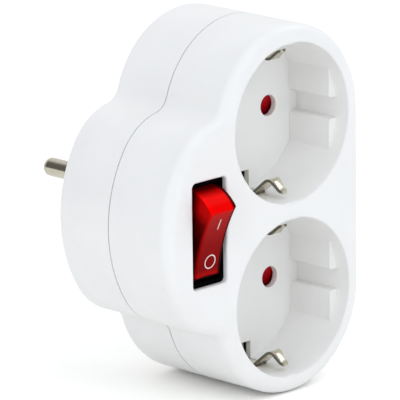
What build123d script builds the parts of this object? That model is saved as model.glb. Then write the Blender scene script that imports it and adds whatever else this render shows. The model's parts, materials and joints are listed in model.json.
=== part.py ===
from build123d import *
from math import cos, radians, sin, sqrt, tan
import os

# Two-way plug-in wall adapter with a lit rocker switch on its left lobe.
# X runs to the right seen from the front, Y towards the wall and Z up.
# The origin is the middle of the plug's end face, where the two pins start.

# Body
socket_spacing = 44.0
rim_radius = 20.0
rim_margin = 4.4
lobe_reach = 43.6
lobe_radius = 34.5
lobe_half_height = 26.6
lobe_corner_radius = 17.0
valley_radius = 5.0
wall = 2.2
rear_wall = 1.6
seam_depth = 20.0
seam_gap = 0.3
front_edge_radius = 3.0
rear_edge_radius = 2.2
lip_thickness = 1.0
lip_height = 1.8
lip_clearance = 0.08

# Plug and sockets
pin_spacing = 19.0
pin_radius = 2.4
pin_root_radius = 2.8
pin_length = 19.0
pin_end_room = 0.1
plug_length = 20.2
plug_wall = 3.2
plug_end_wall = 3.0
plug_clearance = 1.4
plug_edge_radius = 1.5
recess_depth = 17.5
recess_draft = 0.3
rim_edge_radius = 0.4
floor_thickness = 1.5
cup_wall = 2.4
hole_radius = 2.7
flat_setback = 0.5
pad_setback = 4.0
pad_distance = 17.0
pad_corner = 0.8
pad_clearance = 0.4
channel_width = 5.4
channel_clearance = 0.3

# Sheet metal
strip_thickness = 0.7
strip_width = 4.2
slot_clearance = 0.3
clip_flat = 19.7
clip_reach = 19.5
clip_tip_depth = 2.7
clip_tip_reach = 17.5
clip_curl_depth = 3.7
clip_curl_reach = 17.2
clip_apex_depth = 6.8
clip_apex_reach = 14.35
clip_bend_depth = 12.8
clip_tip_radius = 1.1
clip_step_reach = 14.3
clip_slot_reach = 15.0
contact_width = 7.0
contact_length = 8.4
contact_throat = 2.3
contact_mouth = 3.1
contact_bow = 0.3
busbar_width = 7.6
busbar_end = 9.0
tight_bend = 0.4
wide_bend = 3.0
clip_apex_bend = 1.8
clip_foot_bend = 2.0
earth_bar_end = 3.0
earth_post_radius = 2.4
earth_foot_setback = 2.6
groove_depth = 1.3
groove_end_margin = 2.2
link_rise = 4.4
link_foot = 6.0
rivet_radius = 1.2
rivet_fit = 0.05
rivet_head_radius = 1.9
rivet_head_height = 0.6
pin_tip_radius = 2.0
pin_collar_radius = 3.4
pin_collar_height = 1.0
stub_radius = 1.3
stub_length = 1.5
wire_radius = 1.1
wire_lead = 6.0
busbar_lead = 4.5
lamp_wire_rise = 5.0

# Seats in the rear housing
rib_offset = 7.0
rib_thickness = 1.5
seat_post_radius = 2.0
bracket_post_offset = 12.0
post_gap = 0.1

# Shutters
shutter_gap = 0.3
shutter_thickness = 2.4
shutter_reach = 13.0
shutter_half_width = 3.3
shutter_hub_radius = 4.2
shutter_pivot_radius = 2.0
pivot_fit = 0.05
cover_thickness = 1.2
cover_radius = 13.2
stake_radius = 0.9
post_radius = 1.6
post_reach = 10.0
post_angle = 110.0
ramp_toe = 0.7
spring_thickness = 0.25
spring_width = 1.8
spring_bend = 0.8
spring_gap = 0.1

# Switch
switch_x = -28.95
window_width = 11.6
window_height = 26.5
window_corner = 1.2
window_edge_radius = 0.6
window_clearance = 0.1
collar_setback = 1.4
rocker_pivot_depth = 5.25
rocker_radius = 11.8
rocker_width = 8.8
rocker_half_angle = 52.0
rocker_skirt_angle = 96.0
rocker_open_angle = 102.0
rocker_face_sag = 1.0
rocker_swing = 37.0
rocker_wall = 1.1
rocker_edge_radius = 0.6
rocker_gap = 0.25
trunnion_radius = 1.2
trunnion_length = 1.5
frame_wall = 2.0
frame_base = 1.6
plunger_radius = 1.1
plunger_reach = 6.0
plunger_length = 4.6
bore_clearance = 0.1
post_drop = 3.4
coil_radius = 0.75
coil_wire_radius = 0.18
coil_pitch = 1.2
lever_half_length = 7.6
lever_width = 4.0
lever_rise_angle = 10.0
lever_gap = 0.2
blade_width = 4.8
blade_thickness = 0.6
blade_end_depth = 20.5
terminal_spacing = 8.3
terminal_foot = 3.2
middle_terminal_offset = 1.5
lamp_radius = 1.4
lamp_place = (2.0, 5.6)
resistor_radius = 0.9
resistor_place = (1.4, -5.6)
lamp_gap = 0.2

# Screws
boss_radius = 3.0
pillar_radius = 3.9
screw_radius = 1.3
screw_length = 18.0
screw_head_radius = 2.6
screw_head_height = 2.0
screw_clearance = 0.3
screw_cross_width = 0.8
screw_seat_depth = 30.0
left_screw_rise = 19.5
right_screw_x = 19.4
right_screw_rise = 9.6


def polar(radius, angle):
    """Point at a radius and an angle in degrees from the first axis of a sketch."""
    return (radius * cos(radians(angle)), radius * sin(radians(angle)))


# Sizes that follow from the ones above
socket_rise = socket_spacing / 2
socket_rises = {"upper": socket_rise, "lower": -socket_rise}
pin_x = pin_spacing / 2
end_radius = rim_radius + rim_margin
cup_radius = rim_radius + cup_wall
body_depth = recess_depth + pin_length + pin_end_room + rear_wall
rear_inside = body_depth - rear_wall
plug_face = body_depth + plug_length
plug_inside = plug_face - plug_end_wall
front_y = -plug_face
plug_radius = rim_radius - plug_clearance
plug_bore = plug_radius - plug_wall
floor_back = recess_depth + floor_thickness
shutter_front = floor_back + shutter_gap
shutter_back = shutter_front + shutter_thickness
cover_front = shutter_back + shutter_gap
cover_back = cover_front + cover_thickness
bracket_front = cover_back + rivet_head_height + shutter_gap
bracket_back = bracket_front + strip_thickness
earth_bar_back = bracket_back + strip_thickness
contact_front = cover_back + shutter_gap
busbar_front = contact_front + contact_length
busbar_back = busbar_front + strip_thickness
collar_front = plug_inside - pin_collar_height
stub_end = collar_front - stub_length
pin_tip_flat = pin_radius - pin_tip_radius
foot_stack_front = body_depth + earth_foot_setback
earth_feet = {1: foot_stack_front + strip_thickness, -1: foot_stack_front + 2 * strip_thickness}
groove_floor = plug_radius - groove_depth
groove_start = foot_stack_front - slot_clearance
groove_end = plug_face - groove_end_margin
bracket_post_rise = socket_rise + bracket_post_offset
slot_width = strip_width + 2 * slot_clearance
clip_outside = clip_reach + strip_thickness
pocket_depth = clip_bend_depth - 2 * strip_thickness
pocket_reach = clip_reach - strip_thickness
clip_step_depth = floor_back + shutter_gap
step_bend = strip_thickness + tight_bend
earth_rivet_rise = socket_rise - clip_step_reach + rivet_head_radius + shutter_gap
earth_bar_reach = earth_rivet_rise + earth_bar_end
floor_middle = recess_depth + floor_thickness / 2
post_places = [polar(post_reach, post_angle), polar(post_reach, post_angle + 180)]
screw_end = screw_seat_depth - screw_length
rocker_dish = polar(rocker_radius, rocker_half_angle)[0] - rocker_face_sag
post_root = rocker_dish - rocker_wall / 2
lever_swing = rocker_swing / 2
cavity_width = rocker_width + 2 * rocker_gap
cavity_height = 2 * (rocker_radius + rocker_gap)
lever_fulcrum = rocker_pivot_depth + plunger_reach + lever_gap + strip_thickness + lever_gap / 2
cavity_floor = lever_fulcrum + blade_thickness
frame_back = cavity_floor + frame_base
collar_width = window_width - 2 * window_clearance
collar_height = window_height - 2 * window_clearance
frame_width = cavity_width + 2 * frame_wall
frame_height = cavity_height + 2 * frame_wall
switch_post_rise = frame_height / 2 - seat_post_radius
terminal_rises = {
    "input_terminal": -terminal_spacing,
    "output_terminal": -middle_terminal_offset,
    "lamp_terminal": terminal_spacing,
}
screw_places = [
    (switch_x, left_screw_rise),
    (switch_x, -left_screw_rise),
    (right_screw_x, right_screw_rise),
    (right_screw_x, -right_screw_rise),
]


def depth(distance):
    """Y of a place this far behind the front face."""
    return front_y + distance


def across(distance):
    """Plane across the adapter this far behind the front face, seen from the front."""
    return Plane.XZ.offset(-depth(distance))


def arc_about(centre, start, end):
    """Arc of less than half a turn about a centre, from one point to another."""
    to_start = start - centre
    to_end = end - centre
    middle = centre + (to_start + to_end).normalized() * to_start.length
    ThreePointArc(start, middle, end)


def body_outline(inset):
    """Outline of the body from the front, drawn in evenly by an inset.

    Each half is the flat right side, a round end, a hollow blend, the shoulder of the lobe and the lobe's
    own wide arc, all tangent to each other.
    """
    lobe = Vector(lobe_radius - lobe_reach, 0)
    shoulder_rise = lobe_half_height - lobe_corner_radius
    shoulder_run = sqrt((lobe_radius - lobe_corner_radius) ** 2 - shoulder_rise**2)
    shoulder = lobe + Vector(-shoulder_run, shoulder_rise)
    end = Vector(0, socket_rise)
    # The blend's centre keeps its radius clear of both the round end and the shoulder
    to_end = end_radius + valley_radius
    to_shoulder = lobe_corner_radius + valley_radius
    span = (end - shoulder).length
    along = (to_shoulder**2 - to_end**2 + span**2) / (2 * span)
    direction = (end - shoulder).normalized()
    outward = Vector(-direction.Y, direction.X)
    valley = shoulder + direction * along + outward * sqrt(to_shoulder**2 - along**2)
    end_to_valley = end + (valley - end).normalized() * (end_radius - inset)
    valley_to_shoulder = shoulder + (valley - shoulder).normalized() * (lobe_corner_radius - inset)
    shoulder_to_lobe = lobe + (shoulder - lobe).normalized() * (lobe_radius - inset)
    right = end_radius - inset
    with BuildSketch() as outline:
        with BuildLine():
            Line((right, 0), (right, socket_rise))
            arc_about(end, Vector(right, socket_rise), end_to_valley)
            arc_about(valley, end_to_valley, valley_to_shoulder)
            arc_about(shoulder, valley_to_shoulder, shoulder_to_lobe)
            arc_about(lobe, shoulder_to_lobe, Vector(inset - lobe_reach, 0))
            mirror(about=Plane.XZ)
        make_face()
    return outline.sketch


def bent_strip(plane, points, bend_radius, thickness, width):
    """Strip bent along a line of points and thickened to the left of it, centred on the plane."""
    with BuildSketch(plane) as profile:
        with BuildLine():
            path = FilletPolyline(*points, radius=bend_radius)
            offset(path, amount=thickness, side=Side.LEFT)
        make_face()
    extrude(profile.sketch, amount=width / 2, both=True)


def wire_run(points):
    """Round wire along straight runs, each bend as wide as the runs beside it allow."""
    corners = [Vector(*point) for point in points]
    radii = []
    for before, corner, after in zip(corners, corners[1:], corners[2:]):
        turn = (corner - before).get_angle(after - corner)
        run = min((corner - before).length, (after - corner).length)
        radii.append(0.45 * run / tan(radians(turn / 2)))
    with BuildLine() as route:
        FilletPolyline(*points, radius=radii)
    with BuildSketch(Plane(origin=route.line @ 0, z_dir=route.line % 0)) as section:
        Circle(wire_radius)
    sweep(section.sketch, path=route.line)


os.makedirs("parts", exist_ok=True)


def save(piece, name):
    """Label a finished piece and write it to its own file."""
    piece.part.label = name
    export_step(piece.part, f"parts/{name}.step")


# Front housing: shell with two socket cups, the switch window and four screw bosses
with BuildPart() as front_housing:
    with BuildSketch(across(0)):
        add(body_outline(0))
    extrude(amount=-seam_depth)
    fillet(front_housing.faces().sort_by(Axis.Y)[0].edges(), front_edge_radius)
    with BuildSketch(across(wall)):
        add(body_outline(wall))
    extrude(amount=-seam_depth, mode=Mode.SUBTRACT)
    with BuildSketch(across(wall / 2)):
        with Locations((0, socket_rise), (0, -socket_rise)):
            Circle(cup_radius)
    extrude(amount=wall / 2 - floor_back)
    with BuildSketch(across(wall / 2)):
        with Locations(*screw_places):
            Circle(boss_radius)
    extrude(amount=wall / 2 - seam_depth)
    # Rebate that takes the lip of the rear housing
    with BuildSketch(across(seam_depth)):
        add(body_outline(wall - lip_thickness - lip_clearance))
        add(body_outline(wall + lip_clearance), mode=Mode.SUBTRACT)
    extrude(amount=lip_height + lip_clearance, mode=Mode.SUBTRACT)
    with BuildSketch(across(0)):
        with Locations((switch_x, 0)):
            RectangleRounded(window_width, window_height, window_corner)
    extrude(amount=-wall, mode=Mode.SUBTRACT)
    front_face = front_housing.faces().sort_by(Axis.Y)[0]
    fillet(front_face.inner_wires()[0].edges(), window_edge_radius)
    for rise in socket_rises.values():
        socket_axis = Axis((0, 0, rise), (0, 1, 0))
        with BuildSketch(Plane.XY.offset(rise)):
            with BuildLine():
                edge_centre = Vector(rim_radius + rim_edge_radius, depth(rim_edge_radius))
                edge_front = Vector(edge_centre.X, front_y)
                edge_inside = Vector(rim_radius, edge_centre.Y)
                arc_about(edge_centre, edge_front, edge_inside)
                Polyline(
                    edge_inside,
                    (rim_radius - recess_draft, depth(recess_depth)),
                    (0, depth(recess_depth)),
                    (0, front_y),
                    edge_front,
                )
            make_face()
        revolve(axis=socket_axis, mode=Mode.SUBTRACT)
        # Flats that the earth clips lie against
        with BuildSketch(across(flat_setback)):
            with Locations((0, rise)):
                Circle(rim_radius + cup_wall / 2)
                Rectangle(2 * cup_radius, 2 * clip_flat, mode=Mode.SUBTRACT)
        extrude(amount=flat_setback - floor_back)
        # Side pads with a guide channel between them
        with BuildSketch(across(pad_setback)) as pads:
            with Locations((0, rise)):
                Circle(rim_radius + cup_wall / 2)
                Rectangle(2 * pad_distance, 2 * cup_radius, mode=Mode.SUBTRACT)
                Rectangle(2 * cup_radius, channel_width, mode=Mode.SUBTRACT)
            fillet(pads.vertices().sort_by_distance((0, rise))[:4], pad_corner)
        extrude(amount=pad_setback - floor_back)
        # Pockets in the wall and slots in the floor that the earth clips come up through
        for start, inner_reach in ((pocket_depth, pocket_reach), (recess_depth, clip_slot_reach)):
            with BuildSketch(across(start)):
                with Locations((0, rise)):
                    Rectangle(slot_width, 2 * (clip_outside + slot_clearance))
                    Rectangle(slot_width, 2 * inner_reach, mode=Mode.SUBTRACT)
            extrude(amount=start - cover_back, mode=Mode.SUBTRACT)
        with BuildSketch(across(recess_depth)):
            with Locations((-pin_x, rise), (pin_x, rise)):
                Circle(hole_radius)
        extrude(amount=-2 * floor_thickness, mode=Mode.SUBTRACT)
        # Shutter pivot and the two posts that carry the shutter cover
        with BuildSketch(across(floor_middle)):
            with Locations((0, rise)):
                Circle(shutter_pivot_radius)
                with Locations(*post_places):
                    Circle(post_radius)
        extrude(amount=floor_middle - cover_front)
        with BuildSketch(across(cover_front)):
            with Locations((0, rise)):
                with Locations(*post_places):
                    Circle(stake_radius)
        extrude(amount=-cover_thickness)
    with BuildSketch(across(seam_depth)):
        with Locations(*screw_places):
            Circle(screw_radius + rivet_fit)
    extrude(amount=seam_depth - screw_end + screw_clearance, mode=Mode.SUBTRACT)
save(front_housing, "front_housing")

# Rear housing: shell with the hollow plug body, four screw pillars and the seats for the metal parts
with BuildPart() as rear_housing:
    with BuildSketch(across(body_depth)):
        add(body_outline(0))
    extrude(amount=body_depth - seam_depth - seam_gap)
    fillet(rear_housing.faces().sort_by(Axis.Y)[-1].edges(), rear_edge_radius)
    with BuildSketch(across(rear_inside)):
        add(body_outline(wall))
    extrude(amount=rear_inside - seam_depth, mode=Mode.SUBTRACT)
    # Lip that closes the seam from inside
    with BuildSketch(across(seam_depth + wall)):
        add(body_outline(wall - lip_thickness))
        add(body_outline(wall), mode=Mode.SUBTRACT)
    extrude(amount=wall + lip_height)
    with BuildSketch(across(rear_inside)):
        Circle(plug_radius)
    extrude(amount=rear_inside - plug_face)
    fillet(rear_housing.faces().sort_by(Axis.Y)[-1].edges(), plug_edge_radius)
    with BuildSketch(across(plug_inside)):
        Circle(plug_bore)
    extrude(amount=plug_inside - seam_depth, mode=Mode.SUBTRACT)
    # Flats on the sides of the plug, with the ridge that runs in a socket's guide channel
    with BuildSketch(across(body_depth)):
        Circle(plug_radius + plug_wall)
        Rectangle(2 * (pad_distance - pad_clearance), 3 * plug_radius, mode=Mode.SUBTRACT)
        Rectangle(3 * plug_radius, channel_width - 2 * channel_clearance, mode=Mode.SUBTRACT)
    extrude(amount=-plug_length, mode=Mode.SUBTRACT)
    # Grooves and slots for the plug's two earth contacts
    with BuildSketch(across(groove_start)):
        Rectangle(slot_width, 2 * plug_radius)
        Rectangle(slot_width, 2 * groove_floor, mode=Mode.SUBTRACT)
    extrude(amount=groove_start - groove_end, mode=Mode.SUBTRACT)
    for side, foot_depth in earth_feet.items():
        with BuildSketch(across(foot_depth + slot_clearance / 2)):
            with Locations((0, side * plug_radius)):
                Rectangle(slot_width, 3 * plug_wall)
        extrude(amount=strip_thickness + slot_clearance, mode=Mode.SUBTRACT)
    with BuildSketch(across(plug_inside)):
        with Locations((-pin_x, 0), (pin_x, 0)):
            Circle(pin_root_radius + pivot_fit)
    extrude(amount=-plug_end_wall, mode=Mode.SUBTRACT)
    # Pillars that the screws run through
    with BuildSketch(across(rear_inside + rear_wall / 2)):
        with Locations(*screw_places):
            Circle(pillar_radius)
    extrude(amount=rear_inside + rear_wall / 2 - seam_depth)
    with BuildSketch(across(body_depth)):
        with Locations(*screw_places):
            Circle(screw_head_radius + screw_clearance)
    extrude(amount=body_depth - screw_seat_depth, mode=Mode.SUBTRACT)
    with BuildSketch(across(screw_seat_depth)):
        with Locations(*screw_places):
            Circle(screw_radius + screw_clearance)
    extrude(amount=screw_seat_depth, mode=Mode.SUBTRACT)
    # Ribs under the busbars
    with BuildSketch(across(rear_inside + rear_wall / 2)):
        for x in (-pin_x, pin_x):
            for rise in socket_rises.values():
                with Locations((x, rise - rib_offset), (x, rise + rib_offset)):
                    Rectangle(busbar_width, rib_thickness)
    extrude(amount=rear_inside + rear_wall / 2 - busbar_back)
    # Posts behind the earth brackets and behind the switch
    with BuildSketch(across(rear_inside + rear_wall / 2)):
        with Locations((0, bracket_post_rise), (0, -bracket_post_rise)):
            Circle(seat_post_radius)
    extrude(amount=rear_inside + rear_wall / 2 - bracket_back - post_gap)
    with BuildSketch(across(rear_inside + rear_wall / 2)):
        with Locations((switch_x, switch_post_rise), (switch_x, -switch_post_rise)):
            Circle(seat_post_radius)
    extrude(amount=rear_inside + rear_wall / 2 - frame_back - post_gap)
save(rear_housing, "rear_housing")

# Four self-tapping screws with cross recesses
with BuildPart() as housing_screws:
    with BuildSketch(across(screw_seat_depth)):
        with Locations(*screw_places):
            Circle(screw_head_radius)
    extrude(amount=-screw_head_height)
    fillet(housing_screws.faces().group_by(Axis.Y)[-1].edges(), screw_head_height / 2)
    with BuildSketch(across(screw_seat_depth)):
        with Locations(*screw_places):
            Circle(screw_radius)
    extrude(amount=screw_length)
    chamfer(housing_screws.faces().group_by(Axis.Y)[0].edges(), screw_radius / 2)
    with BuildSketch(across(screw_seat_depth + screw_head_height)):
        with Locations(*screw_places):
            Rectangle(2 * screw_radius, screw_cross_width)
            Rectangle(screw_cross_width, 2 * screw_radius)
    extrude(amount=screw_head_height / 2, mode=Mode.SUBTRACT)
save(housing_screws, "housing_screws")

# Plug pins: turned brass with a rounded tip, a thicker root in the plug's end wall, a collar and a stub
for name, side in (("live_pin", -1), ("neutral_pin", 1)):
    with BuildPart() as plug_pin:
        with BuildSketch(Plane((side * pin_x, 0, 0))):
            with BuildLine():
                Polyline(
                    (pin_tip_flat, pin_length),
                    (0, pin_length),
                    (0, depth(stub_end)),
                    (stub_radius, depth(stub_end)),
                    (stub_radius, depth(collar_front)),
                    (pin_collar_radius, depth(collar_front)),
                    (pin_collar_radius, depth(plug_inside)),
                    (pin_root_radius, depth(plug_inside)),
                    (pin_root_radius, 0),
                    (pin_radius, 0),
                    (pin_radius, pin_length - pin_tip_radius),
                )
                tip_centre = Vector(pin_tip_flat, pin_length - pin_tip_radius)
                tip_side = tip_centre + Vector(pin_tip_radius, 0)
                arc_about(tip_centre, tip_side, tip_centre + Vector(0, pin_tip_radius))
            make_face()
        revolve(axis=Axis((side * pin_x, 0, 0), (0, 1, 0)))
    save(plug_pin, name)

# Earth contacts on the top and bottom of the plug, each with a foot that runs in to the earth post
for name, side in (("upper_plug_contact", 1), ("lower_plug_contact", -1)):
    with BuildPart() as plug_contact:
        foot = depth(earth_feet[side])
        rest = side * (groove_floor + slot_clearance / 2)
        path = [
            (foot, -side * strip_width / 2),
            (foot, rest),
            (depth((groove_start + groove_end) / 2), rest + side * contact_bow),
            (depth(groove_end - slot_clearance), rest),
        ]
        bends = [tight_bend, wide_bend]
        bent_strip(Plane.YZ, path[::side], bends[::side], strip_thickness, strip_width)
        with BuildSketch(across(foot_stack_front)):
            Circle(rivet_radius + rivet_fit)
        extrude(amount=-4 * strip_thickness, mode=Mode.SUBTRACT)
    save(plug_contact, name)

# Earth post: turned pillar riveted to the plug contacts behind and to the earth bar in front
with BuildPart() as earth_post:
    with BuildSketch(across(earth_bar_back)):
        Circle(earth_post_radius)
    extrude(amount=earth_bar_back - foot_stack_front)
    with BuildSketch(across(bracket_back)):
        Circle(rivet_radius)
    extrude(amount=bracket_back - foot_stack_front - 3 * strip_thickness)
save(earth_post, "earth_post")

# Earth bar: flat strip behind both socket brackets
with BuildPart() as earth_bar:
    with BuildSketch(across(bracket_back)):
        RectangleRounded(strip_width, 2 * earth_bar_reach, strip_width / 4)
        with Locations((0, 0), (0, earth_rivet_rise), (0, -earth_rivet_rise)):
            Circle(rivet_radius + rivet_fit, mode=Mode.SUBTRACT)
    extrude(amount=-strip_thickness)
save(earth_bar, "earth_bar")

# Rivets that hold the earth bar to the brackets
with BuildPart() as earth_rivets:
    with BuildSketch(across(bracket_front)):
        with Locations((0, earth_rivet_rise), (0, -earth_rivet_rise)):
            Circle(rivet_radius)
    extrude(amount=bracket_front - earth_bar_back)
    for head_front in (bracket_front - rivet_head_height, earth_bar_back):
        with BuildSketch(across(head_front)):
            with Locations((0, earth_rivet_rise), (0, -earth_rivet_rise)):
                Circle(rivet_head_radius)
        extrude(amount=-rivet_head_height)
save(earth_rivets, "earth_rivets")

# Earth brackets: one U of spring strip per socket, stepped behind the floor, its ends bowed in as clips
for name, rise in socket_rises.items():
    with BuildPart() as earth_bracket:
        half = [
            (depth(clip_tip_depth), clip_tip_reach),
            (depth(clip_curl_depth), clip_curl_reach),
            (depth(clip_apex_depth), clip_apex_reach),
            (depth(clip_bend_depth), clip_reach),
            (depth(clip_step_depth), clip_reach),
            (depth(clip_step_depth), clip_step_reach),
            (depth(bracket_front), clip_step_reach),
        ]
        path = half + [(y, -reach) for y, reach in reversed(half)]
        half_bends = [clip_foot_bend, clip_apex_bend, clip_foot_bend, tight_bend, step_bend, tight_bend]
        bends = half_bends + half_bends[::-1]
        bent_strip(Plane((0, 0, rise), (0, 1, 0), (1, 0, 0)), path, bends, strip_thickness, strip_width)
        # The clips narrow towards their rounded tips
        with BuildSketch(Plane.XY.offset(rise - cup_radius)):
            with Locations((0, depth(clip_tip_depth + clip_tip_radius))):
                Circle(clip_tip_radius)
            with Locations((0, depth(clip_apex_depth + clip_apex_bend))):
                Rectangle(strip_width, bracket_back, align=(Align.CENTER, Align.MIN))
            make_hull()
        extrude(amount=2 * cup_radius, mode=Mode.INTERSECT)
        rivet_rise = earth_rivet_rise if rise > 0 else -earth_rivet_rise
        with BuildSketch(across(bracket_front)):
            with Locations((0, rivet_rise)):
                Circle(rivet_radius + rivet_fit)
        extrude(amount=-2 * strip_thickness, mode=Mode.SUBTRACT)
    save(earth_bracket, f"{name}_earth_bracket")

# Busbars: brass strip with a sprung fork behind each pin hole
for name, x in (("live_busbar", -pin_x), ("neutral_busbar", pin_x)):
    with BuildPart() as busbar:
        with BuildSketch(across(busbar_front)):
            with Locations((x, 0)):
                RectangleRounded(busbar_width, socket_spacing + 2 * busbar_end, strip_thickness)
        extrude(amount=-strip_thickness)
        for rise in socket_rises.values():
            fork = [
                (-contact_mouth, depth(contact_front)),
                (-contact_throat, depth(contact_front + contact_length / 4)),
                (-contact_mouth, depth(contact_front + contact_length / 2)),
                (-contact_mouth, depth(busbar_front)),
            ]
            path = fork + [(-offset_x, y) for offset_x, y in reversed(fork)]
            bends = [wide_bend, wide_bend, tight_bend, tight_bend, wide_bend, wide_bend]
            bent_strip(Plane((x, 0, rise)), path, bends, strip_thickness, contact_width)
            with BuildSketch(across(busbar_front)):
                with Locations((x, rise)):
                    Circle(hole_radius)
            extrude(amount=-2 * strip_thickness, mode=Mode.SUBTRACT)
    save(busbar, name)

# Neutral link: strip from the neutral pin up to the neutral busbar
with BuildPart() as neutral_link:
    path = [
        (depth(collar_front), -pin_collar_radius),
        (depth(collar_front), link_rise),
        (depth(busbar_back + strip_thickness), link_rise),
        (depth(busbar_back + strip_thickness), link_rise + link_foot),
    ]
    bent_strip(Plane.YZ.offset(pin_x), path, tight_bend * 2, strip_thickness, strip_width)
    with BuildSketch(across(stub_end)):
        with Locations((pin_x, 0)):
            Circle(stub_radius + rivet_fit)
    extrude(amount=stub_end - plug_inside, mode=Mode.SUBTRACT)
save(neutral_link, "neutral_link")

# Wires: live pin to switch, switch to live busbar, and lamp to neutral busbar
wire_routes = {
    "live_wire": [
        (switch_x, depth(blade_end_depth), -terminal_spacing),
        (switch_x, depth(blade_end_depth + wire_lead), -terminal_spacing),
        (-plug_bore, depth(rear_inside - wire_lead), -terminal_spacing / 2),
        (-pin_x, depth(stub_end - wire_lead), 0),
        (-pin_x, depth(stub_end), 0),
    ],
    "switched_wire": [
        (switch_x, depth(blade_end_depth), -middle_terminal_offset),
        (switch_x, depth(blade_end_depth + wire_lead), -middle_terminal_offset),
        (-pin_x, depth(busbar_front - busbar_lead), 0),
        (-pin_x, depth(busbar_front), 0),
    ],
    "lamp_wire": [
        (switch_x, depth(blade_end_depth), terminal_spacing),
        (switch_x, depth(blade_end_depth + wire_lead), terminal_spacing),
        (pin_x, depth(busbar_front - busbar_lead), lamp_wire_rise),
        (pin_x, depth(busbar_front), lamp_wire_rise),
    ],
}
for name, points in wire_routes.items():
    with BuildPart() as wire:
        wire_run(points)
    save(wire, name)

# Shutters: two wings on a hub, turned aside when both pins push on their ramps
for name, rise in socket_rises.items():
    with BuildPart() as shutter:
        with BuildSketch(across(shutter_front)):
            with Locations((0, rise)):
                Circle(shutter_hub_radius)
        extrude(amount=-shutter_thickness)
        for side in (1, -1):
            ramp_edge = -side * shutter_half_width
            flat_edge = side * shutter_half_width
            with BuildSketch(Plane((0, 0, rise), (0, 1, 0), (1, 0, 0))):
                with BuildLine():
                    Polyline(
                        (depth(shutter_front), flat_edge),
                        (depth(shutter_front), flat_edge / 3),
                        (depth(shutter_back - ramp_toe), ramp_edge),
                        (depth(shutter_back), ramp_edge),
                        (depth(shutter_back), flat_edge),
                        close=True,
                    )
                make_face()
            extrude(amount=side * shutter_reach)
        with BuildSketch(across(shutter_front)):
            with Locations((0, rise)):
                Circle(shutter_reach)
        extrude(amount=-shutter_thickness, mode=Mode.INTERSECT)
        with BuildSketch(across(shutter_front)):
            with Locations((0, rise)):
                Circle(shutter_pivot_radius + pivot_fit)
        extrude(amount=-shutter_thickness, mode=Mode.SUBTRACT)
    save(shutter, f"{name}_shutter")

    # V of spring strip between a post and the flat side of a wing
    with BuildPart() as shutter_spring:
        post_x, post_rise = post_places[0]
        path = [
            (shutter_reach - post_radius, shutter_half_width + spring_gap + spring_thickness),
            (shutter_hub_radius / 2, shutter_hub_radius + spring_gap + spring_thickness),
            (post_x + post_radius + 2 * spring_gap, post_rise + spring_bend),
        ]
        spring_plane = Plane((0, depth((shutter_front + shutter_back) / 2), rise), (1, 0, 0), (0, -1, 0))
        bent_strip(spring_plane, path, spring_bend, spring_thickness, spring_width)
    save(shutter_spring, f"{name}_shutter_spring")

    # Cover plate staked to the posts behind the shutter
    with BuildPart() as shutter_cover:
        with BuildSketch(across(cover_front)):
            with Locations((0, rise)):
                Circle(cover_radius)
                with Locations((-pin_x, 0), (pin_x, 0)):
                    Circle(hole_radius + shutter_gap, mode=Mode.SUBTRACT)
                with Locations(*post_places):
                    Circle(stake_radius + rivet_fit, mode=Mode.SUBTRACT)
        extrude(amount=-cover_thickness)
    save(shutter_cover, f"{name}_shutter_cover")

# Switch frame: black box behind the window, with a collar that fills the window's edge
with BuildPart() as switch_frame:
    with BuildSketch(across(wall)):
        with Locations((switch_x, 0)):
            Rectangle(frame_width, frame_height)
    extrude(amount=wall - frame_back)
    with BuildSketch(across(collar_setback)):
        with Locations((switch_x, 0)):
            RectangleRounded(collar_width, collar_height, window_corner - window_clearance)
    extrude(amount=collar_setback - wall - frame_wall)
    with BuildSketch(across(collar_setback)):
        with Locations((switch_x, 0)):
            Rectangle(cavity_width, cavity_height)
    extrude(amount=collar_setback - cavity_floor, mode=Mode.SUBTRACT)
    # Bearing holes for the rocker's trunnions
    with BuildSketch(Plane.YZ.offset(switch_x)):
        with Locations((depth(rocker_pivot_depth), 0)):
            Circle(trunnion_radius + pivot_fit)
    extrude(amount=rocker_width / 2 + trunnion_length + rocker_gap, both=True, mode=Mode.SUBTRACT)
    # Slots for the three blades
    with BuildSketch(across(cavity_floor)):
        for blade_rise in terminal_rises.values():
            with Locations((switch_x, blade_rise)):
                Rectangle(blade_width + slot_clearance, blade_thickness + 2 * slot_clearance)
    extrude(amount=-frame_base, mode=Mode.SUBTRACT)
save(switch_frame, "switch_frame")

# Terminals: a foot on the frame's floor and a blade through its base
for name, blade_rise in terminal_rises.items():
    with BuildPart() as terminal:
        outside = blade_rise - blade_thickness / 2
        path = [
            (depth(lever_fulcrum), outside + terminal_foot),
            (depth(lever_fulcrum), outside),
            (depth(blade_end_depth), outside),
        ]
        blade_bend = blade_thickness + slot_clearance / 2
        bent_strip(Plane.YZ.offset(switch_x), path, blade_bend, blade_thickness, blade_width)
    save(terminal, name)

# Contact lever: bent strip that rocks on the middle terminal, shown in the off position
with BuildPart() as contact_lever:
    tilt = radians(-lever_swing / 2)
    lever_plane = Plane((switch_x, depth(lever_fulcrum), 0), (0, cos(tilt), sin(tilt)), (1, 0, 0))
    top = -strip_thickness - lever_gap / 2
    arm_end = top - lever_half_length * tan(radians(lever_rise_angle))
    path = [(arm_end, lever_half_length), (top, 0), (arm_end, -lever_half_length)]
    bent_strip(lever_plane, path, wide_bend, strip_thickness, lever_width)
save(contact_lever, "contact_lever")

# Rocker: clear red moulding with round ends about its pivot and a dished face, shown switched off
rocker_tilt = radians(rocker_swing / 2)
rocker_outward = Vector(0, -cos(rocker_tilt), -sin(rocker_tilt))
rocker_pivot = (switch_x, depth(rocker_pivot_depth), 0)
rocker_side = Plane(rocker_pivot, rocker_outward, (-1, 0, 0))
rocker_top = Plane(rocker_pivot, (1, 0, 0), rocker_outward)


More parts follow.
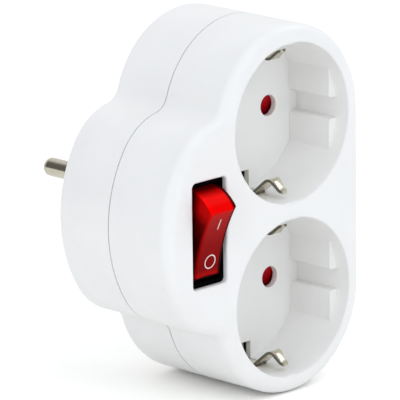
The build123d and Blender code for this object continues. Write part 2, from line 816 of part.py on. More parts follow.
def rocker_profile(inset, skirt_angle):
    """Side view of the rocker about its pivot: dished face, two arcs for ends, open underside."""
    radius = rocker_radius - inset
    peak = Vector(*polar(rocker_radius, rocker_half_angle)) - Vector(inset, inset)
    foot = Vector(*polar(radius, skirt_angle))
    end = Vector(*polar(radius, (rocker_half_angle + skirt_angle) / 2))
    dish = Vector(rocker_dish - inset, 0)
    with BuildSketch() as profile:
        with BuildLine():
            ThreePointArc(peak, dish, Vector(peak.X, -peak.Y))
            ThreePointArc(Vector(peak.X, -peak.Y), Vector(end.X, -end.Y), Vector(foot.X, -foot.Y))
            Line(Vector(foot.X, -foot.Y), foot)
            ThreePointArc(foot, end, peak)
        make_face()
    return profile.sketch


with BuildPart() as switch_rocker:
    with BuildSketch(rocker_side):
        add(rocker_profile(0, rocker_skirt_angle))
    extrude(amount=rocker_width / 2, both=True)
    dish = switch_rocker.faces().sort_by(Axis(rocker_pivot, rocker_outward))[-1]
    fillet(dish.edges(), rocker_edge_radius)
    with BuildSketch(rocker_side):
        add(rocker_profile(rocker_wall, rocker_open_angle))
    extrude(amount=rocker_width / 2 - rocker_wall, both=True, mode=Mode.SUBTRACT)
    with BuildSketch(Plane.YZ.offset(switch_x)):
        with Locations((depth(rocker_pivot_depth), 0)):
            Circle(trunnion_radius)
    extrude(amount=rocker_width / 2 + trunnion_length, both=True)
    with BuildSketch(rocker_top.offset(-post_drop)):
        Circle(plunger_radius + bore_clearance + rocker_wall)
    extrude(amount=post_drop + post_root)
    with BuildSketch(rocker_top.offset(-post_drop)):
        Circle(plunger_radius + bore_clearance)
    extrude(amount=post_drop + post_root - rocker_wall, mode=Mode.SUBTRACT)
save(switch_rocker, "switch_rocker")

# Plunger and spring in the rocker's post, pressing on the contact lever
with BuildPart() as switch_plunger:
    with BuildSketch(rocker_top.offset(plunger_radius - plunger_reach)):
        Circle(plunger_radius)
    extrude(amount=plunger_length - plunger_radius)
    with Locations(rocker_top.offset(plunger_radius - plunger_reach).location):
        Sphere(plunger_radius)
save(switch_plunger, "switch_plunger")

with BuildPart() as plunger_spring:
    coil_start = plunger_length - plunger_reach + coil_wire_radius
    coil_end = post_root - rocker_wall - coil_wire_radius
    with BuildLine() as coil:
        start = Vector(*rocker_pivot) + rocker_outward * coil_start
        Helix(coil_pitch, coil_end - coil_start, coil_radius, center=start, direction=rocker_outward)
    with BuildSketch(Plane(origin=coil.line @ 0, z_dir=coil.line % 0)):
        Circle(coil_wire_radius)
    sweep(path=coil.line)
save(plunger_spring, "plunger_spring")

# Neon lamp and its resistor, held across the inside of the rocker
for name, place, radius in (
    ("neon_lamp", lamp_place, lamp_radius),
    ("lamp_resistor", resistor_place, resistor_radius),
):
    with BuildPart() as component:
        with BuildSketch(rocker_side):
            with Locations(place):
                Circle(radius)
        extrude(amount=rocker_width / 2 - rocker_wall - lamp_gap, both=True)
        fillet(component.edges().filter_by(GeomType.CIRCLE), radius / 2)
    save(component, name)
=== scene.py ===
import bpy
import json
import numpy as np
from math import cos, hypot, radians, sin
from mathutils import Matrix, Vector


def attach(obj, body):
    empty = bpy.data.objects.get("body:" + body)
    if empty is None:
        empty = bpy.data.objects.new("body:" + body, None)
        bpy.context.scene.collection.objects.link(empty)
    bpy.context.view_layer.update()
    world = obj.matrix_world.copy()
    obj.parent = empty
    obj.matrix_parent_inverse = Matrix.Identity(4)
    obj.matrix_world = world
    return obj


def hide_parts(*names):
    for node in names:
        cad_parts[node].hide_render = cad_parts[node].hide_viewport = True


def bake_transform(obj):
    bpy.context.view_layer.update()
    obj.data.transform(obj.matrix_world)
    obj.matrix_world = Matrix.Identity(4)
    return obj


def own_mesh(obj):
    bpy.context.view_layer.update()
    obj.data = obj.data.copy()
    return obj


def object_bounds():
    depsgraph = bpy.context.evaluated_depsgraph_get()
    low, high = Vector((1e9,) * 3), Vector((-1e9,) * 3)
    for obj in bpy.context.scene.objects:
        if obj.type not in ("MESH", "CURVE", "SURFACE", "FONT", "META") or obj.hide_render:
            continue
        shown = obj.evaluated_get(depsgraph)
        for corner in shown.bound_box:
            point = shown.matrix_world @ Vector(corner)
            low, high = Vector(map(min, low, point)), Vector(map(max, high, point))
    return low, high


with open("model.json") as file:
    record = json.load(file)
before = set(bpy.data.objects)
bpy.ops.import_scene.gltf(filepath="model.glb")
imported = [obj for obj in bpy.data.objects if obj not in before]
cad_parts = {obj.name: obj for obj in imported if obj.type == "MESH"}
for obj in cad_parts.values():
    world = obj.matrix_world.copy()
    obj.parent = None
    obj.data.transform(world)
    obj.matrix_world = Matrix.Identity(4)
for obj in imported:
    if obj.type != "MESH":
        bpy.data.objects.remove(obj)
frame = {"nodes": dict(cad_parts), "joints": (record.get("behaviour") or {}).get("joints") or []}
cad_low, cad_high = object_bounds()

# Front and rear housing: two glossy white mouldings that close on each other along the thin seam.
# The surface comes straight from a polished mould, so it shows only a faint orange peel,
# a fine grain and a slight cloudiness in the white.


def node_material(name):
    """New material, with its nodes, its links and its main shader."""
    material = bpy.data.materials.new(name)
    material.use_nodes = True
    nodes = material.node_tree.nodes
    return material, nodes, material.node_tree.links, nodes["Principled BSDF"]


def noise_on(nodes, links, vector, scale, detail=2):
    """Noise with about scale cells to the metre, on a vector output."""
    texture = nodes.new("ShaderNodeTexNoise")
    texture.inputs["Scale"].default_value = scale
    texture.inputs["Detail"].default_value = detail
    links.new(vector, texture.inputs["Vector"])
    return texture.outputs["Fac"]


def spread(nodes, links, value, low, high, start=0, end=1):
    """Number that goes from low to high as a value output goes from start to end."""
    span = nodes.new("ShaderNodeMapRange")
    span.inputs["From Min"].default_value = start
    span.inputs["From Max"].default_value = end
    span.inputs["To Min"].default_value = low
    span.inputs["To Max"].default_value = high
    links.new(value, span.inputs["Value"])
    return span.outputs["Result"]


def two_tones(nodes, links, value, tones, ends=(0, 1)):
    """Colour that goes from the first tone to the second as a value output goes between the ends."""
    ramp = nodes.new("ShaderNodeValToRGB")
    for element, position, tone in zip(ramp.color_ramp.elements, ends, tones):
        element.position = position
        element.color = (*tone, 1)
    links.new(value, ramp.inputs["Fac"])
    return ramp.outputs["Color"]


def toned(colour, share):
    """Colour made darker or paler by a share, at most white."""
    return [min(1, part * share) for part in colour]


def moulded_plastic(name, colour, roughness, clouding=0.02, shine=0.5, edge=0.00015):
    """Plastic from a mould, on Object coordinates.

    A slow noise shifts the colour by the clouding share and the gloss with it, a noise of about 3 mm gives
    the orange peel and one of about 0.15 mm the grain. Sharp edges are rounded by the edge radius.
    """
    cloud_scale = 70
    cloud_ends = (0.3, 0.7)
    gloss_shift = 0.15
    peel_scale = 330
    peel_height = 0.0000015
    grain_scale = 7000
    grain_height = 0.0000012
    material, nodes, links, shader = node_material(name)
    shader.inputs["IOR"].default_value = 1.5
    shader.inputs["Specular IOR Level"].default_value = shine
    place = nodes.new("ShaderNodeTexCoord").outputs["Object"]
    clouds = noise_on(nodes, links, place, cloud_scale, detail=3)
    tones = (toned(colour, 1 - clouding), toned(colour, 1 + clouding))
    links.new(two_tones(nodes, links, clouds, tones, cloud_ends), shader.inputs["Base Color"])
    gloss = spread(nodes, links, clouds, roughness * (1 - gloss_shift), roughness * (1 + gloss_shift))
    links.new(gloss, shader.inputs["Roughness"])
    below = nodes.new("ShaderNodeBevel")
    below.inputs["Radius"].default_value = edge
    for scale, height in ((peel_scale, peel_height), (grain_scale, grain_height)):
        bump = nodes.new("ShaderNodeBump")
        bump.inputs["Distance"].default_value = height
        links.new(noise_on(nodes, links, place, scale), bump.inputs["Height"])
        links.new(below.outputs["Normal"], bump.inputs["Normal"])
        below = bump
    links.new(below.outputs["Normal"], shader.inputs["Normal"])
    return material


def finish_node(node, material):
    """Give a solid of the frame its one finish."""
    piece = frame["nodes"][node]
    piece.data.materials.clear()
    piece.data.materials.append(material)


white_plastic = moulded_plastic("white_plastic", colour=(0.935, 0.927, 0.9), roughness=0.36)
for housing in ("front_housing", "rear_housing"):
    finish_node(housing, white_plastic)

# Housing screws: four self-tapping steel screws, sunk in the back of the rear housing.
# Their zinc plating is even, with a fine grain and faint stains.


def rolled_metal(name, colour, roughness, lines_along, streak=0.06):
    """Bare or plated metal on Object coordinates.

    Noise stretched along lines_along gives fine rolling lines in colour, gloss and bump, and a slower noise
    gives the faint stains of handling.
    """
    line_scale = 5200
    line_stretch = 0.03
    line_height = 0.0000015
    stain_scale = 420
    tone_ends = (0.35, 0.65)
    gloss_ends = (0.3, 0.7)
    dull = 1.35
    bright = 0.75
    material, nodes, links, shader = node_material(name)
    shader.inputs["Metallic"].default_value = 1
    place = nodes.new("ShaderNodeTexCoord").outputs["Object"]
    stretch = nodes.new("ShaderNodeMapping")
    stretch.inputs["Scale"].default_value = [line_stretch if axis else 1 for axis in lines_along]
    links.new(place, stretch.inputs["Vector"])
    lines = noise_on(nodes, links, stretch.outputs["Vector"], line_scale, detail=3)
    halves = nodes.new("ShaderNodeMix")
    links.new(lines, halves.inputs["A"])
    links.new(noise_on(nodes, links, place, stain_scale, detail=4), halves.inputs["B"])
    marks = halves.outputs["Result"]
    tones = (toned(colour, 1 - 2 * streak), toned(colour, 1 + streak))
    links.new(two_tones(nodes, links, marks, tones, tone_ends), shader.inputs["Base Color"])
    gloss = spread(nodes, links, marks, roughness * dull, roughness * bright, *gloss_ends)
    links.new(gloss, shader.inputs["Roughness"])
    bump = nodes.new("ShaderNodeBump")
    bump.inputs["Distance"].default_value = line_height
    links.new(lines, bump.inputs["Height"])
    links.new(bump.outputs["Normal"], shader.inputs["Normal"])
    return material


zinc_plate = rolled_metal("zinc_plate", colour=(0.6, 0.61, 0.63), roughness=0.28, lines_along=(0, 0, 0))
finish_node("housing_screws", zinc_plate)

# Plug pins, the plug's earth contacts and the earth clips of the sockets: brass with bright nickel.
# The pins are turned, the others are bent from rolled strip, with lines along the strip.


def reach_along(nodes, links, vector, axis):
    """Length of a vector output along an axis: their dot product."""
    product = nodes.new("ShaderNodeVectorMath")
    product.operation = "DOT_PRODUCT"
    product.inputs[1].default_value = axis
    links.new(vector, product.inputs[0])
    return product.outputs["Value"]


def worked_out(nodes, links, operation, *values):
    """Result of a Math node on outputs and plain numbers."""
    step = nodes.new("ShaderNodeMath")
    step.operation = operation
    for socket, value in zip(step.inputs, values):
        if isinstance(value, (int, float)):
            socket.default_value = value
        else:
            links.new(value, socket)
    return step.outputs["Value"]


def scaled_by(nodes, links, colour, factor):
    """Colour output times a value output."""
    shade = nodes.new("ShaderNodeVectorMath")
    shade.operation = "SCALE"
    links.new(colour, shade.inputs[0])
    links.new(factor, shade.inputs["Scale"])
    return shade.outputs["Vector"]


across_object = Vector((1, 0, 0))


def bent_strip(name, colour, roughness):
    """Plated strip with painted shade on its cut edges and broad faces that are slightly crowned across the
    strip.

    The share of X in the normal darkens the cut edges with painted shade, and a bump of height -crown *
    x**2 tilts the faces.
    """
    crown = 55
    strip_edge_painted_shade = 0.22
    material = rolled_metal(name, colour, roughness, lines_along=(0, 1, 1))
    nodes = material.node_tree.nodes
    links = material.node_tree.links
    shader = nodes["Principled BSDF"]
    place = nodes.new("ShaderNodeTexCoord")
    facing = reach_along(nodes, links, place.outputs["Normal"], across_object)
    # Painted shade: the cut edges, where the normal points along X, are darkened
    cut = spread(nodes, links, worked_out(nodes, links, "ABSOLUTE", facing), 1, strip_edge_painted_shade)
    rolled_colour = shader.inputs["Base Color"].links[0].from_socket
    links.new(scaled_by(nodes, links, rolled_colour, cut), shader.inputs["Base Color"])
    across = reach_along(nodes, links, place.outputs["Object"], across_object)
    rise = nodes.new("ShaderNodeBump")
    rise.inputs["Distance"].default_value = crown
    rise.invert = True
    links.new(worked_out(nodes, links, "MULTIPLY", across, across), rise.inputs["Height"])
    rolled_bump = shader.inputs["Normal"].links[0].from_node
    links.new(rise.outputs["Normal"], rolled_bump.inputs["Normal"])
    return material


nickel_pin = rolled_metal("nickel_pin", colour=(0.52, 0.49, 0.4), roughness=0.14, lines_along=(1, 0, 1))
for pin in ("live_pin", "neutral_pin"):
    finish_node(pin, nickel_pin)
nickel_strip = bent_strip("nickel_strip", colour=(0.74, 0.69, 0.55), roughness=0.16)
for strip in ("upper_plug_contact", "lower_plug_contact", "upper_earth_bracket", "lower_earth_bracket"):
    finish_node(strip, nickel_strip)

# Current and earth path inside: strips, post, rivets and blades of plain rolled brass.
# They are riveted or sprung into the rear housing and the switch.
rolled_brass = rolled_metal(
    "rolled_brass", colour=(0.78, 0.58, 0.28), roughness=0.3, lines_along=(0, 0, 1), streak=0.1
)
for strip in (
    "earth_post",
    "earth_bar",
    "earth_rivets",
    "live_busbar",
    "neutral_busbar",
    "neutral_link",
    "input_terminal",
    "output_terminal",
    "lamp_terminal",
    "contact_lever",
):
    finish_node(strip, rolled_brass)

# Wires: stranded copper in smooth coloured insulation, brown on the live side and blue on the neutral.
# They are soldered to the blades, the live pin and the busbars.
insulation = {"roughness": 0.42, "clouding": 0.12}
brown_insulation = moulded_plastic("brown_insulation", colour=(0.2, 0.09, 0.045), **insulation)
blue_insulation = moulded_plastic("blue_insulation", colour=(0.05, 0.13, 0.45), **insulation)
for wire in ("live_wire", "switched_wire"):
    finish_node(wire, brown_insulation)
finish_node("lamp_wire", blue_insulation)

# Shutters: dark red mouldings on a pivot behind each socket floor, with a ramp on each wing.
# A natural white plate staked on posts covers each one.
shutter_red = moulded_plastic(
    "shutter_red", colour=(0.46, 0.004, 0.008), roughness=0.3, clouding=0.08, shine=0.12
)
natural_plastic = moulded_plastic(
    "natural_plastic", colour=(0.78, 0.76, 0.69), roughness=0.45, clouding=0.04
)
for socket in ("upper", "lower"):
    finish_node(f"{socket}_shutter", shutter_red)
    finish_node(f"{socket}_shutter_cover", natural_plastic)

# Shutter springs: a V of thin spring steel behind each floor, which turns the shutter back.
# The short arm leans on a post of the housing, and the strip is built in one fixed shape.
spring_steel = rolled_metal(
    "spring_steel", colour=(0.5, 0.5, 0.5), roughness=0.25, lines_along=(1, 0, 0)
)
joints = {joint["name"]: joint for joint in frame["joints"]}
# Ends and corner of the V, across and up from the shutter's pivot
wing_end = np.array((0.0114, 0.00365))
hub_corner = np.array((0.0021, 0.00455))
post_end = np.array((-0.00162, 0.0102))
strip_bend = 0.0008
strip_thickness = 0.00025
strip_width = 0.0018
strip_steps = 20


def direction_from(start, end):
    """Unit vector from start to end."""
    return (end - start) / np.linalg.norm(end - start)


def tube_quads(rows, columns):
    """Point numbers of a tube, one row for each ring of points, and the quads between its rings."""
    index = np.arange(rows * columns).reshape(rows, columns)
    step = np.roll(index, -1, axis=1)
    quads = np.stack((index[:-1], index[1:], step[1:], step[:-1]), axis=-1).reshape(-1, 4)
    return index, quads.tolist()


def closed_tube(name, rings):
    """Mesh of a tube through rings of points, with a flat end on the first and the last ring."""
    index, faces = tube_quads(*rings.shape[:2])
    faces += [index[0].tolist(), index[-1, ::-1].tolist()]
    mesh = bpy.data.meshes.new(name)
    mesh.from_pydata(rings.reshape(-1, 3).tolist(), [], faces)
    return mesh


def spring_strip(name, pivot):
    """V of strip: a rectangle carried along two straight arms and the arc between them.

    The arc's centre lies on the bisector of the arms, bend / sin(half the angle) from their corner, and the
    arc meets each arm bend / tan(half the angle) from it. The thickness stands on the outside of the bend.
    """
    first_arm = direction_from(hub_corner, wing_end)
    second_arm = direction_from(hub_corner, post_end)
    half_angle = np.arccos(first_arm @ second_arm) / 2
    bisector = (first_arm + second_arm) / np.linalg.norm(first_arm + second_arm)
    centre = hub_corner + bisector * strip_bend / np.sin(half_angle)
    arc_start = hub_corner + first_arm * strip_bend / np.tan(half_angle)
    arc_end = hub_corner + second_arm * strip_bend / np.tan(half_angle)
    along = np.linspace(0, 1, strip_steps)[:, None]
    first_out = (arc_start - centre) / strip_bend
    second_out = (arc_end - centre) / strip_bend
    turned = first_out * (1 - along) + second_out * along
    arc_out = turned / np.linalg.norm(turned, axis=1, keepdims=True)
    path = np.vstack((
        wing_end + (arc_start - wing_end) * along[:-1],
        centre + strip_bend * arc_out,
        arc_end + (post_end - arc_end) * along[1:],
    ))
    out = np.vstack((first_out + 0 * along[:-1], arc_out, second_out + 0 * along[1:]))
    lift = strip_thickness * np.array((0, 0, 1, 1))
    side = strip_width / 2 * np.array((1, -1, -1, 1))
    flat = path[:, None, :] + out[:, None, :] * lift[None, :, None]
    across = side + 0 * flat[:, :, 0]
    return closed_tube(name, np.array(pivot) + np.stack((flat[:, :, 0], across, flat[:, :, 1]), axis=-1))


def add_piece(mesh, material):
    """Put a mesh into the scene as a piece with one finish."""
    mesh.materials.append(material)
    piece = bpy.data.objects.new(mesh.name, mesh)
    bpy.context.scene.collection.objects.link(piece)
    return piece


for socket in ("upper", "lower"):
    pivot = Vector(joints[f"{socket}_shutter_turn"]["pos_m"])
    strip = add_piece(spring_strip(f"{socket}_spring_strip", pivot), spring_steel)
    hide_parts(f"{socket}_shutter_spring")
    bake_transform(strip)

# Switch frame: box of satin black plastic that snaps in behind the window.
# Its collar stands a little back from the white face.
frame_black = moulded_plastic(
    "frame_black", colour=(0.0015, 0.0015, 0.0015), roughness=0.4, clouding=0.2, shine=0.006
)
finish_node("switch_frame", frame_black)

# Rocker: clear red moulding, polished, hollow under its dished face.
# Its thick round ends carry painted light; the face over the hollow, the sides, the right edge and a strip
# across the lower end carry painted shade, darker towards the pivot.
# At rest it leans back by half of its swing.
rocker_pivot = Vector(joints["rocker_tilt"]["pos_m"])
rocker_lean = radians(joints["rocker_tilt"]["range_deg"][1] / 2)
rocker_radius = 0.0118
rocker_half_angle = radians(52)
rocker_outward = Vector((0, -cos(rocker_lean), -sin(rocker_lean)))
rocker_along = Vector((0, -sin(rocker_lean), cos(rocker_lean)))


def colour_mix(nodes):
    """Factor, both colours and the result of a Mix node for colours.

    The colour sockets share their names with the node's sockets for numbers, so they are found by place.
    """
    mix = nodes.new("ShaderNodeMix")
    mix.data_type = "RGBA"
    return mix.inputs["Factor"], mix.inputs[6], mix.inputs[7], mix.outputs[2]


def clear_red(name, colours, side_colours, across_shades):
    """Clear red plastic on Object coordinates, with painted light and shade in its colour.

    The place along the rocker, a dot product with its long axis, runs through a ramp of reds: painted light
    on the round ends, painted shade on the face and a painted shadow across the lower end. X from the
    middle
    runs through a ramp that multiplies them: a clear left edge and painted shade along the right edge. The
    sides, found by the share of X in the surface's normal, take a darker ramp of painted shade. All darken
    with painted shade towards the pivot, down the dot product with the axis that points out of the face.
    A slow noise swirls them a little, and sharp edges are rounded to catch the light.
    """
    shine = 0.012
    dark_height = 0.0006
    bright_height = 0.0036
    dark_share = 0.1
    swirl_scale = 300
    swirl_share = 0.03
    gloss_ends = (0.08, 0.2)
    edge_radius = 0.0003
    material, nodes, links, shader = node_material(name)
    shader.inputs["IOR"].default_value = 1.5
    shader.inputs["Specular IOR Level"].default_value = shine
    coordinates = nodes.new("ShaderNodeTexCoord")
    place = coordinates.outputs["Object"]
    # Painted shade: the red darkens towards the pivot, where the rocker sinks into the window
    pivot_height = rocker_pivot.dot(rocker_outward)
    height = reach_along(nodes, links, place, rocker_outward)
    height_ends = (pivot_height + dark_height, pivot_height + bright_height)
    painted_pivot_shade = spread(nodes, links, height, dark_share, 1, *height_ends)
    shares = []
    for axis in (rocker_along, across_object):
        middle = rocker_pivot.dot(axis)
        reach = reach_along(nodes, links, place, axis)
        shares.append(spread(nodes, links, reach, 0, 1, middle - rocker_radius, middle + rocker_radius))
    along_share, across_share = shares
    swirl = noise_on(nodes, links, place, swirl_scale)
    swirled = worked_out(nodes, links, "MULTIPLY_ADD", swirl, swirl_share, along_share)
    ramps = []
    # Painted light and shade: ramps of reds along the rocker and of edge shade across it
    for stops, value in ((colours, swirled), (side_colours, swirled), (across_shades, across_share)):
        ramp = nodes.new("ShaderNodeValToRGB")
        ramp.color_ramp.elements.remove(ramp.color_ramp.elements[1])
        for position, colour in stops:
            element = ramp.color_ramp.elements.new(0.5 + position / (2 * rocker_radius))
            element.color = (*colour, 1)
        ramp.color_ramp.elements.remove(ramp.color_ramp.elements[0])
        links.new(value, ramp.inputs["Fac"])
        ramps.append(ramp.outputs["Color"])
    shaded = nodes.new("ShaderNodeVectorMath")
    shaded.operation = "MULTIPLY"
    links.new(ramps[0], shaded.inputs[0])
    links.new(ramps[2], shaded.inputs[1])
    # Painted shade on the sides, where the normal points along X
    factor, face_colour, side_colour, tinted = colour_mix(nodes)
    facing = reach_along(nodes, links, coordinates.outputs["Normal"], across_object)
    links.new(worked_out(nodes, links, "ABSOLUTE", facing), factor)
    links.new(shaded.outputs["Vector"], face_colour)
    links.new(ramps[1], side_colour)
    links.new(scaled_by(nodes, links, tinted, painted_pivot_shade), shader.inputs["Base Color"])
    links.new(spread(nodes, links, swirl, *gloss_ends), shader.inputs["Roughness"])
    bevel = nodes.new("ShaderNodeBevel")
    bevel.inputs["Radius"].default_value = edge_radius
    links.new(bevel.outputs["Normal"], shader.inputs["Normal"])
    return material


# Reds along the rocker in metres from its pivot, from the lower end to the upper end: painted light on
# both round ends, a painted shadow of the frame across the lower end and painted shade on the face
painted_light_face_reds = (
    (-0.0099, (0.9, 0.002, 0.001)),
    (-0.0092, (0.03, 0.001, 0.001)),
    (-0.0086, (0.03, 0.001, 0.001)),
    (-0.0082, (0.52, 0.004, 0.004)),
    (-0.0074, (0.36, 0.004, 0.004)),
    (-0.0066, (0.26, 0.004, 0.004)),
    (0, (0.33, 0.007, 0.007)),
    (0.0065, (0.46, 0.016, 0.016)),
    (0.0087, (0.6, 0.012, 0.01)),
    (0.0096, (1, 0.001, 0.0005)),
)
# Reds on the sides, in metres along the rocker from its pivot: painted shade, darkest at the middle
painted_shade_side_reds = (
    (-0.008, (0.12, 0.001, 0.001)),
    (0.0005, (0.035, 0.0005, 0.0005)),
    (0.0055, (0.11, 0.001, 0.001)),
    (0.0085, (0.5, 0.002, 0.002)),
)
# Shades across the rocker in metres from its middle: a clear left edge, and painted shade as a dark line
# along the right edge
painted_edge_shades = (
    (-0.0035, (1.05, 0.2, 0.2)),
    (-0.003, (0.9, 1, 1)),
    (0.0032, (0.9, 1, 1)),
    (0.0036, (0.16, 0.12, 0.12)),
    (0.0043, (0.04, 0.03, 0.03)),
)
finish_node("switch_rocker", clear_red("rocker_red", painted_light_face_reds, painted_shade_side_reds, painted_edge_shades))

# Switch marks: a stroke and a ring printed in white ink on the dished face, as on every such rocker.
# The ink stands a few hundredths of a millimetre off the plastic and takes up a little of its red.
face_sag = 0.001
face_end = rocker_radius * sin(rocker_half_angle)
dish_radius = hypot(face_end, face_sag) ** 2 / (2 * face_sag)
dish_centre = rocker_radius * cos(rocker_half_angle) - face_sag + dish_radius
ink_half_height = 0.00006
ink_half_width = 0.00015
ink_sides = 12
ink_section = np.linspace(0, 2 * np.pi, ink_sides, endpoint=False)[None, :]
marks_across = 0.0004
stroke_along = 0.0051
stroke_half_length = 0.00155
stroke_steps = 42
stroke_bluntness = 14
ring_along = -0.0053
ring_radius = 0.0017
ring_steps = 72


def on_dish(across, along, lift):
    """Points on the dished face: the arc about the dish's centre line, raised by a lift."""
    outward = dish_centre - np.sqrt(dish_radius**2 - along**2) + lift
    points = np.array(rocker_pivot) + np.multiply.outer(outward, np.array(rocker_outward))
    points += np.multiply.outer(along, np.array(rocker_along))
    points += np.multiply.outer(across, np.array(across_object))
    return points


def printed_loop(name):
    """Ring of ink: an ellipse of section carried round a circle on the face."""
    around = np.linspace(0, 2 * np.pi, ring_steps, endpoint=False)[:, None]
    reach = ring_radius + ink_half_width * np.cos(ink_section)
    lift = ink_half_height * np.sin(ink_section) + 0 * around
    points = on_dish(marks_across + reach * np.cos(around), ring_along + reach * np.sin(around), lift)
    rows, columns = lift.shape
    index = np.arange(rows * columns).reshape(rows, columns)
    beside = np.roll(index, -1, axis=0)
    corners = (index, beside, np.roll(beside, -1, axis=1), np.roll(index, -1, axis=1))
    mesh = bpy.data.meshes.new(name)
    mesh.from_pydata(points.reshape(-1, 3).tolist(), [], np.stack(corners, axis=-1).reshape(-1, 4).tolist())
    return mesh


def printed_stroke(name):
    """Stroke of ink: an ellipse of section that narrows to a point at both round ends.

    Its width and height shrink by sqrt(1 - share**bluntness), with the share of the half length that a
    point lies from the middle.
    """
    share = np.sin(np.linspace(-np.pi / 2, np.pi / 2, stroke_steps))[1:-1, None]
    narrowing = np.sqrt(1 - np.abs(share) ** stroke_bluntness)
    across = marks_across + ink_half_width * narrowing * np.cos(ink_section)
    lift = ink_half_height * np.sin(ink_section) * narrowing
    body = on_dish(across, stroke_along + stroke_half_length * share + 0 * ink_section, lift)
    tips = stroke_along + stroke_half_length * np.array((-1.0, 1.0))
    ends = on_dish(np.full(2, marks_across), tips, np.zeros(2))
    rows, columns = lift.shape
    index, faces = tube_quads(rows, columns)
    first = rows * columns
    for tip, near, far in (
        (first, index[0], np.roll(index[0], -1)),
        (first + 1, np.roll(index[-1], -1), index[-1]),
    ):
        faces += np.stack((np.full(columns, tip), near, far), axis=-1).tolist()
    mesh = bpy.data.meshes.new(name)
    mesh.from_pydata(np.vstack((body.reshape(-1, 3), ends)).tolist(), [], faces)
    return mesh


white_ink = moulded_plastic("white_ink", colour=(0.95, 0.86, 0.82), roughness=0.5, clouding=0.05)
for mark in (printed_stroke("on_mark"), printed_loop("off_mark")):
    mark.shade_smooth()
    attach(add_piece(mark, white_ink), "rocker")

# Plunger and its spring: a natural white pin that slides in the rocker's post over a coil of steel wire.
# The coil stands on the post's root and is attached to the rocker.
finish_node("switch_plunger", natural_plastic)
coil_low = -0.00122
coil_high = 0.004435
coil_pitch = 0.0012
coil_radius = 0.00075
coil_steps = 120
wire_radius = 0.00018
wire_sides = 10


def wire_coil(name):
    """Coil of round wire: a circle of section carried along a helix about the rocker's outward axis."""
    rise = np.linspace(coil_low, coil_high, coil_steps)[:, None, None]
    section = np.linspace(0, 2 * np.pi, wire_sides, endpoint=False)[None, :, None]
    turn = 2 * np.pi * (rise - coil_low) / coil_pitch
    sideways = np.array(across_object)
    outward = np.array(rocker_outward)
    third = np.cross(outward, sideways)
    radial = np.cos(turn) * sideways + np.sin(turn) * third
    tangent = np.cos(turn) * third - np.sin(turn) * sideways
    slope = coil_pitch / (2 * np.pi * coil_radius)
    binormal = (outward - slope * tangent) / np.sqrt(1 + slope**2)
    around = np.cos(section) * radial + np.sin(section) * binormal
    rings = np.array(rocker_pivot) + outward * rise + coil_radius * radial + wire_radius * around
    return closed_tube(name, rings)


coil_mesh = wire_coil("plunger_coil")
coil_mesh.shade_smooth()
coil = add_piece(coil_mesh, spring_steel)
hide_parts("plunger_spring")
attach(coil, "rocker")
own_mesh(coil)

# Lamp and resistor inside the rocker: a small neon bulb and a lacquered resistor with colour bands.
# They sit in its hollow, out of sight, and light the red plastic from within when it is switched on.


def lamp_glass(name):
    """Clear glass with a faint amber stain that follows a slow noise."""
    stain_scale = 500
    tones = ((0.95, 0.9, 0.85), (0.85, 0.55, 0.35))
    gloss_ends = (0.02, 0.1)
    material, nodes, links, shader = node_material(name)
    shader.inputs["Transmission Weight"].default_value = 0.9
    shader.inputs["IOR"].default_value = 1.47
    place = nodes.new("ShaderNodeTexCoord").outputs["Object"]
    stain = noise_on(nodes, links, place, stain_scale)
    links.new(two_tones(nodes, links, stain, tones), shader.inputs["Base Color"])
    links.new(spread(nodes, links, stain, *gloss_ends), shader.inputs["Roughness"])
    return material


def banded_lacquer(name, body_colour, bands):
    """Lacquer with colour bands: X from the middle of the switch, through a stepped ramp."""
    half_length = 0.003
    band_width = 0.08
    material = moulded_plastic(name, body_colour, roughness=0.35, clouding=0.06)
    nodes = material.node_tree.nodes
    links = material.node_tree.links
    place = nodes.new("ShaderNodeTexCoord").outputs["Object"]
    across = reach_along(nodes, links, place, across_object)
    share = spread(nodes, links, across, 0, 1, rocker_pivot.x - half_length, rocker_pivot.x + half_length)
    ring = nodes.new("ShaderNodeValToRGB")
    ring.color_ramp.interpolation = "CONSTANT"
    ring.color_ramp.elements[0].color = (*body_colour, 1)
    ring.color_ramp.elements.remove(ring.color_ramp.elements[1])
    for start, colour in bands:
        for position, shade in ((start, colour), (start + band_width, body_colour)):
            element = ring.color_ramp.elements.new(position)
            element.color = (*shade, 1)
    links.new(share, ring.inputs["Fac"])
    links.new(ring.outputs["Color"], nodes["Principled BSDF"].inputs["Base Color"])
    return material


finish_node("neon_lamp", lamp_glass("lamp_glass"))
resistor_bands = (
    (0.2, (0.2, 0.07, 0.02)),
    (0.35, (0.02, 0.02, 0.02)),
    (0.5, (0.7, 0.5, 0.02)),
    (0.72, (0.5, 0.36, 0.08)),
)
finish_node("lamp_resistor", banded_lacquer("resistor_lacquer", (0.7, 0.6, 0.42), resistor_bands))

# Studio floor: a wide sheet of white paper just under the lower end.
# Its tone is raised for the eye and for reflections alone, so that it shows white and keeps the shadow.
scene = bpy.context.scene
scene.view_settings.view_transform = "Standard"
floor_half = 4.0
floor_gap = 0.0002
paper_white = (0.955, 0.95, 0.935, 1)
shown_white = (1.27, 1.26, 1.21, 1)


def rays_that_see(nodes, links):
    """1 for camera, glossy and transmission rays, which show a surface to the eye, and 0 for the others."""
    path = nodes.new("ShaderNodeLightPath")
    seen = path.outputs["Is Camera Ray"]
    for ray in ("Is Glossy Ray", "Is Transmission Ray"):
        seen = worked_out(nodes, links, "MAXIMUM", seen, path.outputs[ray])
    return seen


def colour_by_ray(nodes, links, lighting, seen):
    """One colour for the rays that light other surfaces and another for those that show this one."""
    factor, lighting_colour, seen_colour, chosen = colour_mix(nodes)
    lighting_colour.default_value = lighting
    seen_colour.default_value = seen
    links.new(rays_that_see(nodes, links), factor)
    return chosen


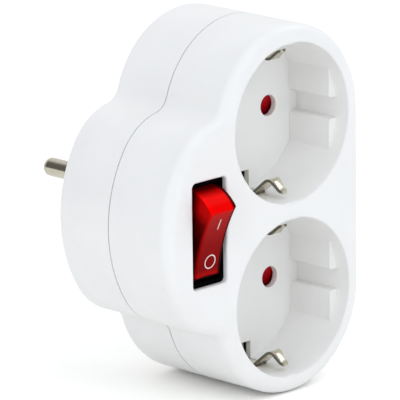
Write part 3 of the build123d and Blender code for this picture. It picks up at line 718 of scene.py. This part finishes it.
paper, paper_nodes, paper_links, glossy_shader = node_material("studio_paper")
paper_nodes.remove(glossy_shader)
paper_shader = paper_nodes.new("ShaderNodeBsdfDiffuse")
paper_tone = colour_by_ray(paper_nodes, paper_links, paper_white, shown_white)
paper_links.new(paper_tone, paper_shader.inputs["Color"])
paper_links.new(paper_shader.outputs["BSDF"], paper_nodes["Material Output"].inputs["Surface"])
floor_corners = [
    (x * floor_half, y * floor_half, cad_low.z - floor_gap)
    for x, y in ((-1, -1), (1, -1), (1, 1), (-1, 1))
]
floor_mesh = bpy.data.meshes.new("floor")
floor_mesh.from_pydata(floor_corners, [], [(0, 1, 2, 3)])
add_piece(floor_mesh, paper)

# Camera at the photograph's angle: far off, with a long lens and a slight lean to one side.
# It looks at a point in the plane of the seam, near the middle of the object.
view_target = Vector((-0.012272, -0.0384, 0.001625))
view_distance = 1.142
view_azimuth = radians(-45.166)
view_elevation = radians(14.761)
view_roll = radians(-0.721)
view_lens = 418.73
back = Vector((
    sin(view_azimuth) * cos(view_elevation),
    -cos(view_azimuth) * cos(view_elevation),
    sin(view_elevation),
))
level = Vector((cos(view_azimuth), sin(view_azimuth), 0))
upright = back.cross(level)
right = level * cos(view_roll) + upright * sin(view_roll)
up = upright * cos(view_roll) - level * sin(view_roll)
camera = bpy.data.objects.new("camera", bpy.data.cameras.new("camera"))
camera.data.lens = view_lens
camera.data.sensor_width = 36
facing_target = Matrix((right, up, back)).transposed().to_4x4()
camera.matrix_world = Matrix.Translation(view_target + back * view_distance) @ facing_target
scene.collection.objects.link(camera)
scene.camera = camera

# Surround: a white backdrop behind the object, a white ceiling and a dimmer room on the other sides.
# The camera sees white all round, and polished metal sees backdrop, ceiling and room.
room_light = 0.545
ceiling_light = 0.94
room_dark = 0.18
backdrop_edge = (0.1, 0.4)
ceiling_edge = (0.78, 0.98)
daylight = (0.93, 0.95, 1, 1)
white = (1, 1, 1, 1)
overhead = Vector((0, 0, 1))
world = bpy.data.worlds.new("surround")
world.use_nodes = True
scene.world = world
world_nodes = world.node_tree.nodes
world_links = world.node_tree.links
sky = world_nodes["Background"]
world_links.new(colour_by_ray(world_nodes, world_links, daylight, white), sky.inputs["Color"])
direction = world_nodes.new("ShaderNodeTexCoord").outputs["Generated"]
shown = world_nodes.new("ShaderNodeLightPath").outputs["Is Camera Ray"]
for toward, edge in ((-back, backdrop_edge), (overhead, ceiling_edge)):
    facing = reach_along(world_nodes, world_links, direction, toward)
    bright_side = spread(world_nodes, world_links, facing, room_dark, 1, *edge)
    shown = worked_out(world_nodes, world_links, "MAXIMUM", shown, bright_side)
upward = reach_along(world_nodes, world_links, direction, overhead)
strength = world_nodes.new("ShaderNodeMix")
world_links.new(rays_that_see(world_nodes, world_links), strength.inputs["Factor"])
world_links.new(spread(world_nodes, world_links, upward, room_light, ceiling_light), strength.inputs["A"])
world_links.new(shown, strength.inputs["B"])
world_links.new(strength.outputs["Result"], sky.inputs["Strength"])

# Soft lamps: one wide sheet overhead towards the front, a weaker one on the camera's left, a low one in
# front that looks into the sockets and a small one on the right that draws the bright line on the clips.
lamp_colour = (0.87, 0.925, 1)
for lamp_name, place, size, power in (
    ("overhead", Vector((-0.15, -0.65, 0.65)), 0.6, 1.2),
    ("left", Vector((-0.8, -0.2, 0.3)), 0.5, 0.9),
    ("front", Vector((-0.1, -0.95, 0.02)), 0.4, 0.78),
    ("right", Vector((0.64, -0.19, 0.6)), 0.3, 0.7),
):
    lamp = bpy.data.objects.new(lamp_name, bpy.data.lights.new(lamp_name, "AREA"))
    lamp.data.size = size
    lamp.data.energy = power
    lamp.data.color = lamp_colour
    lamp.location = place
    lamp.rotation_mode = "QUATERNION"
    lamp.rotation_quaternion = (view_target - place).to_track_quat("-Z", "Y")
    scene.collection.objects.link(lamp)

bpy.context.view_layer.update()
